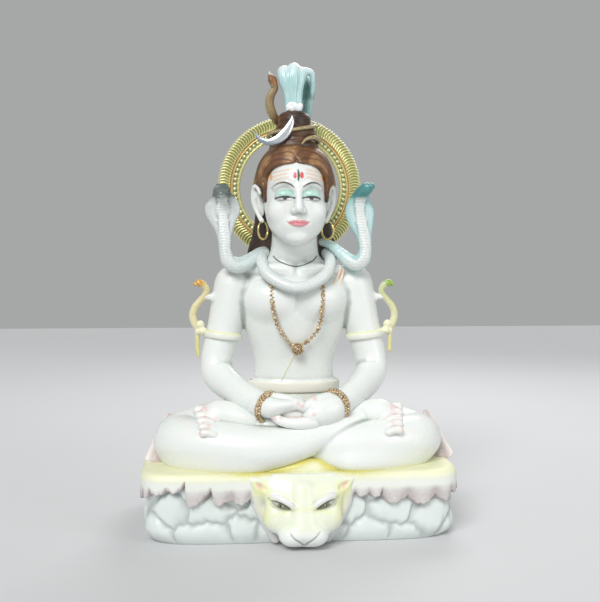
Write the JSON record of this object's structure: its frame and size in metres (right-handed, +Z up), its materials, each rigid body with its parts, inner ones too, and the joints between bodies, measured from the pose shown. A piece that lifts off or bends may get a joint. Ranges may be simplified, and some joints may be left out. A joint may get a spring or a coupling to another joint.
{
  "type": "seated shiva figure",
  "caption": "Painted marble figure of Shiva seated cross-legged in meditation on a tiger-skin rock plinth, with cobras, a gilded ring halo, a crescent and hoop earrings.",
  "frame": {"origin": "middle of the plinth's underside", "axes": "+Z up, the figure faces -Y, +X to the viewer's right"},
  "size_m": [0.406, 0.29, 0.6061],
  "materials": {
    "marble": "polished white marble with a soft sheen, painted in places",
    "gilding": "gilded marble ring with fine radial flutes and an orange line",
    "silvering": "silvered crescent with an engraved underside",
    "earring_gilt": "gilt hoop"
  },
  "bodies": {
    "root": {"statue": "marble", "halo": "gilding", "crescent": "silvering", "earring_left": "earring_gilt", "earring_right": "earring_gilt"}
  },
  "joints": []
}
